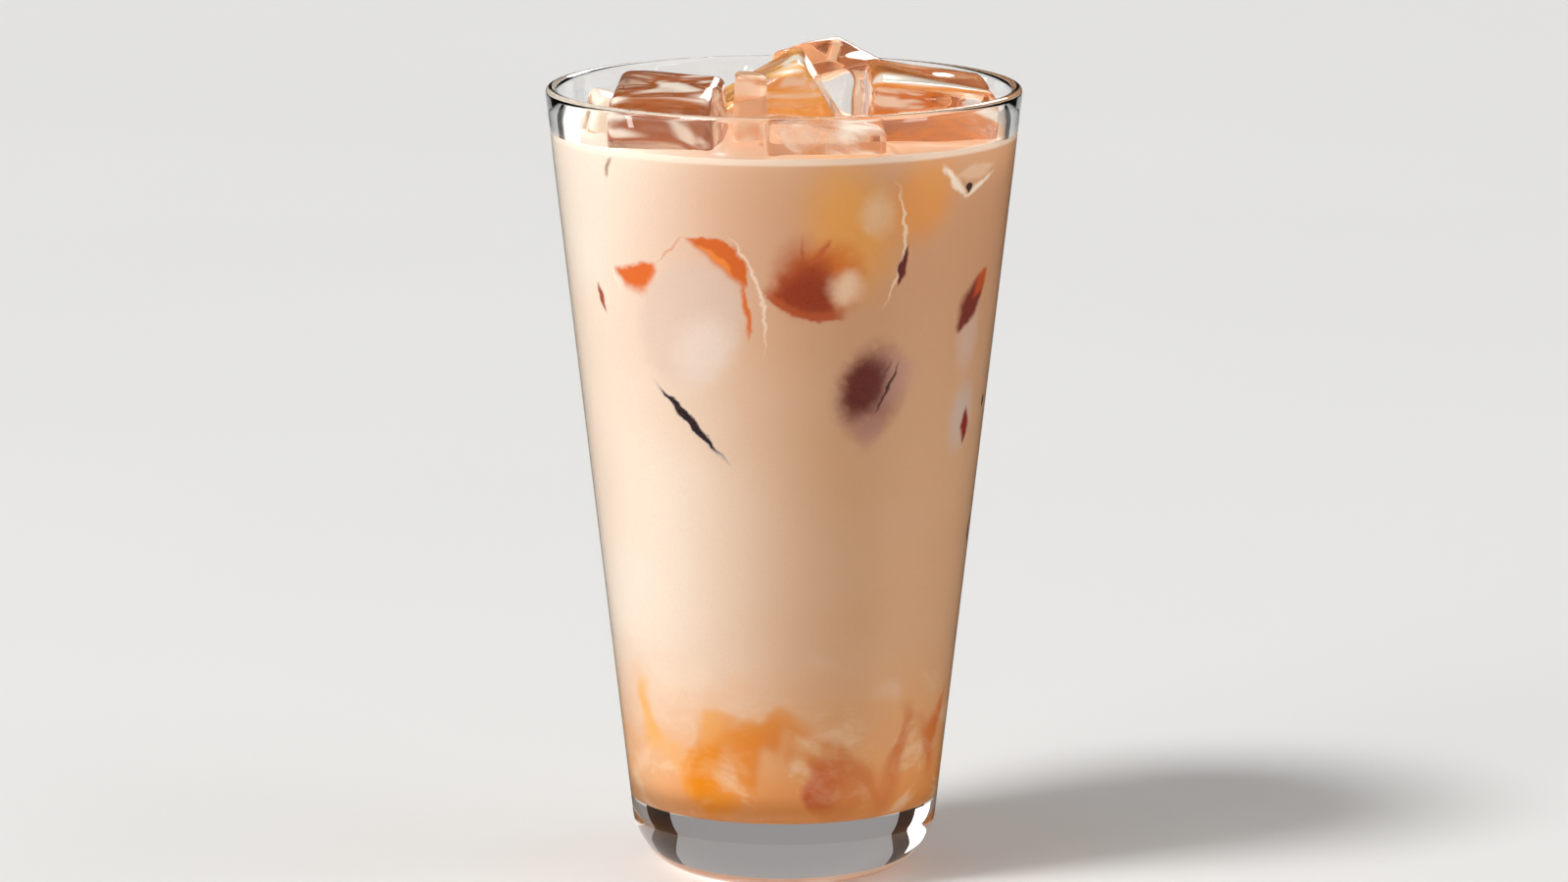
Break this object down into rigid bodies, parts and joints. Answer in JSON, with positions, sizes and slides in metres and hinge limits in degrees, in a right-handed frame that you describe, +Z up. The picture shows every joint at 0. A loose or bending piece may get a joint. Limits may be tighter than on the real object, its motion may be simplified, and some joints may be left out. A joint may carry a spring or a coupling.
{
  "type": "iced latte",
  "caption": "Tall conical glass of milky iced coffee with an amber layer at the bottom and clear ice cubes standing out of the top.",
  "frame": {"origin": "middle of the glass's underside, on the surface it stands on", "axes": "+Z up along the glass's axis, -Y towards the viewer"},
  "size_m": [0.0886, 0.0886, 0.1533],
  "materials": {
    "clear_glass": "clear polished",
    "milky_coffee": "wet, milky, opaque",
    "amber_coffee": "wet, opaque, swirled",
    "clear_ice": "wet clear ice"
  },
  "bodies": {
    "root": {"glass": "clear_glass", "drink": "milky_coffee", "amber_layer": "amber_coffee", "ice_left": "clear_ice", "ice_front": "clear_ice", "ice_peak": "clear_ice", "ice_tall": "clear_ice", "ice_right": "clear_ice", "ice_back_left": "clear_ice", "ice_back_right": "clear_ice", "ice_chip": "clear_ice", "ice_chunk": "clear_ice"}
  },
  "joints": []
}
